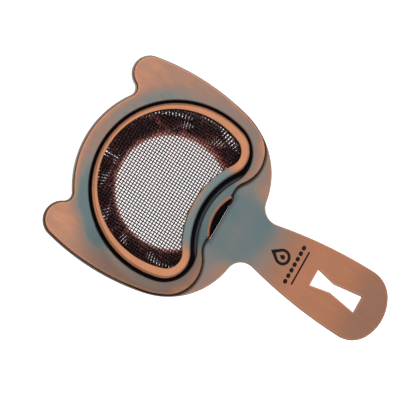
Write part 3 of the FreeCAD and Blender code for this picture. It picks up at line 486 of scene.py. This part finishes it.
# satin copper on the bezel, greener on its hollow side
BEZEL = (
    (0.00, linear(192, 133, 100)),
    (0.20, linear(178, 121, 90)),
    (0.55, linear(138, 115, 101)),
    (0.95, linear(106, 117, 117)),
)
# painted shade: near-black in the moat, the slot and the seam, dark brown at the outer wall's foot, grey on
# the moat's lighter side
SHADE_BLACK = linear(16, 13, 16)
FOOT_SHADE = linear(60, 48, 44)
MOAT_SHADE_GREY = linear(78, 80, 85)
WALL = linear(152, 144, 136)
# worn copper with a painted highlight, for the bright lines along the edges
WORN_AND_HIGHLIGHT = linear(222, 150, 108)
# painted highlight on the lip's crest
LIP_HIGHLIGHT = linear(206, 122, 80)
BACKING_LIGHT, BACKING_DARK = linear(150, 100, 76), linear(112, 84, 72)
CLOTH_DARK, CLOTH_COPPER = linear(60, 42, 45), linear(168, 100, 92)
SPRING_DARK, SPRING_COPPER = linear(44, 32, 34), linear(196, 128, 114)
MARK_DARK, MARK_LIGHT = linear(12, 8, 9), linear(30, 20, 19)


# ---------------------------------------------------------------- finishes
def brushed(graph, vector, roughness, patina=None):
    """Grain along the handle: grain and roughness."""
    fine = graph.noise(graph.stretched(vector, (0.12, 3.2, 3.2)), 1.0, 3.0, 0.6)
    hair = graph.noise(graph.stretched(vector, (0.5, 9.0, 9.0)), 1.0, 2.0, 0.5)
    grain = graph.plus(graph.times(fine, 0.6), graph.times(hair, 0.4))
    rough = graph.plus(roughness, graph.spread(grain, 0.3))
    if patina is not None:
        rough = graph.plus(rough, graph.times(patina, 0.12))
    return grain, rough


def uneven(graph, vector, cloud_share, speck_share):
    """Slow clouds and small specks about zero, and the specks alone."""
    cloud = graph.noise(vector, 0.075, 3.0, 0.5)
    speck = graph.noise(vector, 1.3, 5.0, 0.7)
    return graph.plus(graph.spread(cloud, cloud_share), graph.spread(speck, speck_share)), speck


def finish_plate(graph, vector, colour, amount, speck, shade):
    """Shared end of the plates' materials: grain, shade and small pits."""
    grain, rough = brushed(graph, vector, 0.36, amount)
    colour = graph.shaded(colour, graph.times(graph.fade(grain, 0.3, 0.7, 0.9, 1.08), shade))
    pits = graph.plus(grain, graph.times(speck, 0.5))
    return graph.surface(colour, rough, graph.bump(pits, 0.25, 0.00003))


def ring_edge(graph, x, wide):
    """Distance inwards from the handle plate's edge along the ears' long sides and the rear corners."""
    from_side = graph.minus(SIDE_RADIUS, graph.distance(x, wide, SIDE_CENTRE))
    from_shoulder = graph.minus(SHOULDER_RADIUS, graph.distance(x, wide, SHOULDER_CENTRE))
    return graph.math("MINIMUM", from_side, from_shoulder)


def edge_lines(graph, colour, speck, strength):
    """A bright line along the edges: worn copper with a painted highlight."""
    near = graph.fade(graph.near_edge(EDGE_LINE_REACH), 0.1, 0.6)
    bright = graph.times(near, graph.fade(speck, 0.3, 0.62, 0.6, 1.0))
    return graph.mix(graph.times(bright, strength), colour, WORN_AND_HIGHLIGHT)


def mesh_plate_copper(graph, x, wide, from_centre, rim, lower):
    """Where the mesh plate is worn to copper: the ears' tips, the front's outer half, the long sides
    and the rear lobes."""
    from_tip = graph.distance(x, wide, EAR_TIP)
    tip = graph.times(graph.fade(from_tip, 3.0, 20.0, 1.0, 0.0), graph.plus(graph.times(lower, 0.16), 0.3))
    front = graph.times(graph.fade(from_centre, 44.2, 47.6, 0.0, 0.34), graph.fade(x, -28.0, -38.0))
    side = graph.times(graph.fade(rim, 1.0, 7.0, 0.16, 0.0), graph.fade(x, 26.0, 6.0, 0.35, 1.0))
    lobe = graph.times(graph.fade(graph.distance(x, wide, REAR_LOBE), 11.5, 16.5, 0.0, 0.5),
                       graph.times(graph.fade(x, 19.0, 24.0), graph.fade(wide, 15.0, 22.0)))
    return graph.most(graph.most(tip, front), graph.most(side, lobe))


def mesh_plate_patina(graph, x, wide, from_centre, lower):
    """Where the mesh plate is greenest: a belt beside the notches, and the strip behind the hollow side."""
    reach = graph.times(graph.fade(x, -46.0, -36.0, 0.35, 1.0), graph.fade(x, -26.0, -4.0, 1.0, 0.2))
    belt = graph.plus(graph.times(graph.fade(from_centre, 45.0, 52.0), -0.38),
                      graph.times(lower, graph.fade(from_centre, 47.0, 56.0, 0.3, 0.0)))
    belt = graph.times(graph.plus(belt, 0.38), reach)
    rear = graph.times(graph.fade(x, 6.0, 18.0, 0.0, 0.42), graph.fade(wide, 32.0, 18.0, 0.35, 1.0))
    return graph.most(belt, rear)


def mesh_plate_finish():
    """Patina round the moat and in the notches, copper on the ears' tips and along the edges, painted
    highlights on the edges and the lip, and painted shade in the moat, in the slot, at the wall's foot and on
    a darker lower side and rear.
    """
    graph = Graph("antique_copper_mesh_plate")
    vector, x, y, z, wide = graph.place()
    from_centre = graph.distance(x, y, (0.0, 0.0))
    rim = ring_edge(graph, x, wide)
    lower = graph.fade(y, 10.0, -25.0)
    copper = mesh_plate_copper(graph, x, wide, from_centre, rim, lower)
    patina = mesh_plate_patina(graph, x, wide, from_centre, lower)
    clouds, speck = uneven(graph, vector, 0.3, 0.2)
    smear = graph.noise(graph.stretched(vector, (0.11, 0.3, 0.3)), 1.0, 3.0, 0.55)
    clouds = graph.plus(clouds, graph.spread(smear, 0.4))
    amount = graph.plus(graph.minus(graph.plus(patina, 0.6), copper), clouds, clamp=True)
    colour = graph.ramp(amount, ANTIQUE)
    outside = graph.fade(from_centre, 45.6, 46.6)
    colour = graph.mix(outside, colour, edge_lines(graph, colour, speck, 0.75))
    # painted shade on the walls: the outer one dark at its foot, the moat and the slot black
    not_below = graph.not_below()
    foot = graph.times(outside, graph.fade(z, mesh_plate_top - 0.4, mesh_plate_top - 0.8))
    colour = graph.mix(graph.times(graph.times(foot, not_below), 0.9), colour, FOOT_SHADE)
    depth = graph.minus(graph.minus(mesh_plate_top, z), graph.fade(x, 10.0, 16.0, 0.0, 0.45))
    moat = graph.times(graph.fade(depth, 0.45, 1.05), graph.minus(1.0, outside))
    # the lip: a painted highlight on its crest, painted shade black where it drops into the slot
    lip = graph.distance(x, y, (LIP_CENTRE, 0.0))
    at_lip = graph.times(graph.fade(x, 17.0, 18.0), graph.fade(wide, 12.2, 11.2))
    crest_highlight = graph.times(at_lip, graph.band(lip, LIP_RADIUS - 1.5, LIP_RADIUS - 0.7, LIP_RADIUS + 0.3))
    colour = graph.mix(graph.times(crest_highlight, 0.95), colour, LIP_HIGHLIGHT)
    drop = graph.times(at_lip, graph.fade(lip, LIP_RADIUS - 1.0, LIP_RADIUS - 1.6))
    moat = graph.times(moat, graph.minus(1.0, at_lip))
    colour = graph.mix(graph.times(graph.most(moat, drop), not_below), colour, SHADE_BLACK)
    # painted shade: a darker lower side and rear
    low_side = graph.times(graph.fade(x, -34.0, -8.0, 0.0, 0.34), graph.fade(rim, 7.0, 1.5))
    darker = graph.times(lower, graph.most(low_side, graph.fade(x, -30.0, 12.0, 0.0, 0.24)))
    shade = graph.times(graph.fade(x, -30.0, 34.0, 1.04, 0.9), graph.minus(1.0, darker))
    return finish_plate(graph, vector, colour, amount, speck, shade)


def grip_colour(graph, vector, x, clouds):
    """Brown copper, streaked along the grip and darker towards its end."""
    streak = graph.noise(graph.stretched(vector, (0.04, 0.9, 0.9)), 1.0, 4.0, 0.6)
    tone = graph.plus(graph.fade(x, 56.0, 74.0, 0.66, 0.36), graph.spread(streak, 0.6))
    tone = graph.plus(tone, graph.times(clouds, 0.5))
    return graph.ramp(graph.plus(tone, graph.fade(x, 92.0, 108.0, 0.0, 0.3), clamp=True), GRIP)


def seam_shadow(graph, x, z):
    """Dark lines at the mesh plate's foot: thin ones round the front, a wider one behind."""
    rear = graph.fade(x, -4.0, 16.0)
    reach, low, high = (graph.fade(rear, 0.0, 1.0, front, back)
                        for front, back in ((0.0007, 0.0022), (0.62, 0.83), (0.84, 0.97)))
    crevice = graph.minus(1.0, graph.opening(reach, low, high))
    return graph.times(crevice, graph.fade(z, plate_top - 0.4, plate_top - 0.2))


def handle_plate_finish():
    """Strong patina behind the seam and on the neck, copper on the shoulders, brown on the grip."""
    graph = Graph("antique_copper_handle_plate")
    vector, x, y, z, wide = graph.place()
    edge = ring_edge(graph, x, wide)
    shoulder = graph.times(graph.fade(edge, 0.5, 9.0, 0.2, 0.0), graph.fade(wide, 12.0, 24.0))
    shoulder = graph.most(shoulder, graph.fade(graph.distance(x, wide, GLOW), 2.0, 8.0, 0.3, 0.0))
    clouds, speck = uneven(graph, vector, 0.36, 0.2)
    amount = graph.minus(graph.fade(x, 44.0, 63.0, 0.97, 0.62), shoulder)
    amount = graph.minus(amount, graph.fade(wide, 12.0, 24.0, 0.0, 0.2))
    amount = graph.plus(amount, clouds, clamp=True)
    on_grip = graph.fade(x, 47.0, 65.0)
    colour = graph.mix(on_grip, graph.ramp(amount, ANTIQUE), grip_colour(graph, vector, x, clouds))
    # painted shade: the plate beside the slot darkened, with no edge line there
    by_slot = graph.times(graph.fade(x, SLOT_BACK + 2.0, SLOT_BACK + 1.0), graph.fade(wide, 14.5, 13.5))
    colour = graph.mix(by_slot, edge_lines(graph, colour, speck, 0.5), graph.shaded(colour, 0.8))
    # the margin outside the mesh plate and the walls are grey, with painted shade making them darker on the
    # lower side and the grip
    wall = graph.fade(graph.math("ABSOLUTE", graph.upward()), 0.9, 0.6)
    margin = graph.times(graph.fade(x, 10.0, 2.0), graph.fade(graph.near_edge(MARGIN_REACH), 0.01, 0.06))
    grey_shade = graph.times(graph.fade(y, -15.0, -38.0, 1.0, 0.36), graph.fade(x, 0.0, 45.0, 1.0, 0.45))
    grey = graph.times(graph.most(wall, margin), 0.92)
    colour = graph.mix(grey, colour, graph.shaded(WALL, grey_shade))
    # painted shade: black inside the slot and along the seam
    slot = graph.times(graph.fade(x, SLOT_BACK + 0.5, SLOT_BACK + 0.1), graph.fade(wide, 13.4, 12.6))
    slot = graph.times(slot, graph.fade(x, 12.0, 14.0))
    slot = graph.times(slot, graph.times(wall, graph.fade(z, plate_top - 0.1, plate_top - 0.3)))
    black = graph.times(graph.most(slot, seam_shadow(graph, x, z)), 0.95)
    colour = graph.mix(black, colour, SHADE_BLACK)
    return finish_plate(graph, vector, colour, amount, speck, graph.fade(x, 86.0, 106.0, 0.95, 0.84))


def lug_finish():
    """Dull cloudy patina."""
    graph = Graph("antique_copper_lugs")
    vector = graph.place()[0]
    clouds, speck = uneven(graph, vector, 1.2, 0.3)
    amount = graph.plus(clouds, 0.55, clamp=True)
    return finish_plate(graph, vector, graph.ramp(amount, ANTIQUE), amount, speck, 0.85)


def bezel_finish():
    """Satin copper, greener on the hollow side, with painted shade dark down in the moat."""
    graph = Graph("satin_copper_bezel")
    vector, x, y, z, wide = graph.place()
    cloud = graph.noise(vector, 0.12, 3.0, 0.5)
    hollow = graph.times(graph.fade(x, 8.0, 14.0), graph.fade(wide, 26.0, 16.0))
    amount = graph.plus(graph.times(hollow, 0.9), graph.times(cloud, 0.3), clamp=True)
    colour = graph.ramp(amount, BEZEL)
    # a bright line along the edges: worn copper with a painted highlight
    colour = graph.mix(graph.times(graph.near_edge(BEZEL_EDGE_LINE_REACH), 0.6), colour, WORN_AND_HIGHLIGHT)
    # painted shade: black down in the moat, grading to grey towards the plate on the hollow side
    floor = graph.times(graph.fade(z, mesh_plate_top - 0.3, mesh_plate_top - 0.75), graph.not_below())
    from_dent = graph.distance(x, y, (DENT_CENTRE, 0.0))
    outer = graph.times(graph.fade(from_dent, 39.1, 37.9, 0.0, 0.85), graph.fade(wide, 26.0, 20.0))
    colour = graph.mix(floor, colour, graph.mix(outer, SHADE_BLACK, MOAT_SHADE_GREY))
    grain, rough = brushed(graph, vector, 0.34)
    rough = graph.plus(rough, graph.times(floor, 0.25))
    return graph.surface(colour, rough, graph.bump(grain, 0.15, 0.00002))


def backing_finish():
    """Satin copper, a little darkened."""
    graph = Graph("satin_copper_backing")
    vector = graph.place()[0]
    colour = graph.mix(graph.noise(vector, 0.3, 3.0, 0.5), BACKING_LIGHT, BACKING_DARK)
    grain, rough = brushed(graph, vector, 0.4)
    return graph.surface(colour, rough, graph.bump(grain, 0.2, 0.00002))


def wire_finish(name, dark, copper, low, high, roughness, inner=0.0):
    """Darkened plated wire with copper in patches, and with "inner" a painted copper highlight inside the
    coil's bend.
    """
    graph = Graph(name)
    vector, x, y = graph.place()[:3]
    patch = graph.noise(vector, 0.9, 4.0, 0.65)
    amount = graph.plus(patch, graph.spread(graph.noise(vector, 0.15, 2.0, 0.5), 0.5))
    # painted highlight: copper glints near the coil's inner side
    if inner:
        from_centre = graph.distance(x, y, (0.0, 0.0))
        amount = graph.plus(amount, graph.fade(from_centre, COIL_RADIUS - 7.0, COIL_RADIUS - 2.0, inner, 0.0))
    colour = graph.mix(graph.fade(amount, low, high), dark, copper)
    fine = graph.noise(vector, 6.0, 3.0, 0.6)
    rough = graph.plus(roughness, graph.spread(fine, 0.2))
    return graph.surface(colour, rough, graph.bump(fine, 0.2, 0.00002))


def mark_finish():
    """Matt near-black."""
    graph = Graph("laser_dark")
    fine = graph.noise(graph.place()[0], 2.5, 4.0, 0.6)
    colour = graph.mix(fine, MARK_DARK, MARK_LIGHT)
    return graph.surface(colour, 0.7, graph.bump(fine, 0.2, 0.00002), metallic=0.0, Specular_IOR_Level=0.2)


def floor_finish():
    """Pale floor with a glow of its own, so that it stays pale under the strainer."""
    graph = Graph("pale_floor")
    return graph.finished(graph.node(
        "ShaderNodeBsdfPrincipled", Base_Color=(0.8, 0.8, 0.8, 1.0), Roughness=0.9,
        Emission_Color=(1.0, 1.0, 1.0, 1.0), Emission_Strength=0.9))


def dress(node, material):
    """Give a CAD node its material."""
    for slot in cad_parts[node].material_slots:
        slot.material = material


# ---------------------------------------------------------------- pieces
cloth = woven_cloth()
cloth.data.materials.append(wire_finish("dark_cloth_wire", CLOTH_DARK, CLOTH_COPPER, 0.48, 0.82, 0.42))
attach(cloth, "basket")
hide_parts("mesh_screen")

spring = coil_spring()
spring.data.materials.append(
    wire_finish("dark_spring_wire", SPRING_DARK, SPRING_COPPER, 0.56, 0.84, 0.38, inner=0.4))
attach(spring, "spring")
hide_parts("spring_coil")
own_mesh(spring)

mark = laser_mark()
mark.data.materials.append(mark_finish())
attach(mark, "frame")

dress("top_plate", mesh_plate_finish())
dress("handle_plate", handle_plate_finish())
dress("mesh_bezel", bezel_finish())
dress("mesh_backing_ring", backing_finish())
lugs = lug_finish()
dress("spring_lug_left", lugs)
dress("spring_lug_right", lugs)

# ---------------------------------------------------------------- stage and light, in metres
FLOOR_REACH, FLOOR_DROP = 4, 0.0002

floor_corners = []
for side_x, side_y in ((-1, -1), (1, -1), (1, 1), (-1, 1)):
    floor_corners.append((side_x * FLOOR_REACH, side_y * FLOOR_REACH, -FLOOR_DROP))
floor_mesh = bpy.data.meshes.new("floor")
floor_mesh.from_pydata(floor_corners, [], [(0, 1, 2, 3)])
floor = bpy.data.objects.new("floor", floor_mesh)
floor.data.materials.append(floor_finish())
bpy.context.scene.collection.objects.link(floor)


def softbox(name, spot, aim, width, height, radiance):
    """A large soft area light with a given brightness of its face."""
    light = bpy.data.lights.new(name, "AREA")
    light.shape = "RECTANGLE"
    light.size, light.size_y = width, height
    light.energy = radiance * math.pi * width * height
    made = bpy.data.objects.new(name, light)
    made.location = spot
    made.rotation_mode = "QUATERNION"
    made.rotation_quaternion = (Vector(aim) - Vector(spot)).to_track_quat("-Z", "Y")
    bpy.context.scene.collection.objects.link(made)


middle = (cad_low + cad_high) / 2
softbox("overhead", (0.15, 0.25, 1.0), middle, 1.1, 0.9, 0.86)
softbox("left_fill", (-1.0, -0.6, 0.6), middle, 0.8, 0.6, 0.75)
softbox("back_fill", (0.9, 0.9, 0.5), middle, 0.6, 0.5, 0.6)

world = bpy.data.worlds.new("studio")
world.use_nodes = True
background = world.node_tree.nodes["Background"]
background.inputs["Color"].default_value = (0.95, 0.97, 1.0, 1.0)
background.inputs["Strength"].default_value = 0.66
bpy.context.scene.world = world
bpy.context.scene.view_settings.view_transform = "Standard"

# ---------------------------------------------------------------- camera, in metres
TILT, BEARING, ROLL = math.radians(16), math.radians(240), math.radians(-32.3)
CAMERA_DISTANCE, PIXELS_PER_METRE, FRAME_WIDTH = 0.9, 2117.5, 416
CAMERA_AIM = Vector((-0.0165, 0.0009, 0.015))

back = Vector((math.sin(TILT) * math.cos(BEARING), math.sin(TILT) * math.sin(BEARING), math.cos(TILT)))
handle_way = Vector((1, 0, 0)) - back * back.x
handle_way.normalize()
across_way = back.cross(handle_way)
right = handle_way * math.cos(ROLL) - across_way * math.sin(ROLL)
up = handle_way * math.sin(ROLL) + across_way * math.cos(ROLL)
spot = CAMERA_AIM + back * CAMERA_DISTANCE
camera_data = bpy.data.cameras.new("camera")
camera_data.sensor_width = 36.0
camera_data.lens = PIXELS_PER_METRE * CAMERA_DISTANCE / FRAME_WIDTH * camera_data.sensor_width
camera = bpy.data.objects.new("camera", camera_data)
camera.matrix_world = Matrix((
    (right.x, up.x, back.x, spot.x),
    (right.y, up.y, back.y, spot.y),
    (right.z, up.z, back.z, spot.z),
    (0, 0, 0, 1),
))
bpy.context.scene.collection.objects.link(camera)
bpy.context.scene.camera = camera

bpy.context.view_layer.update()
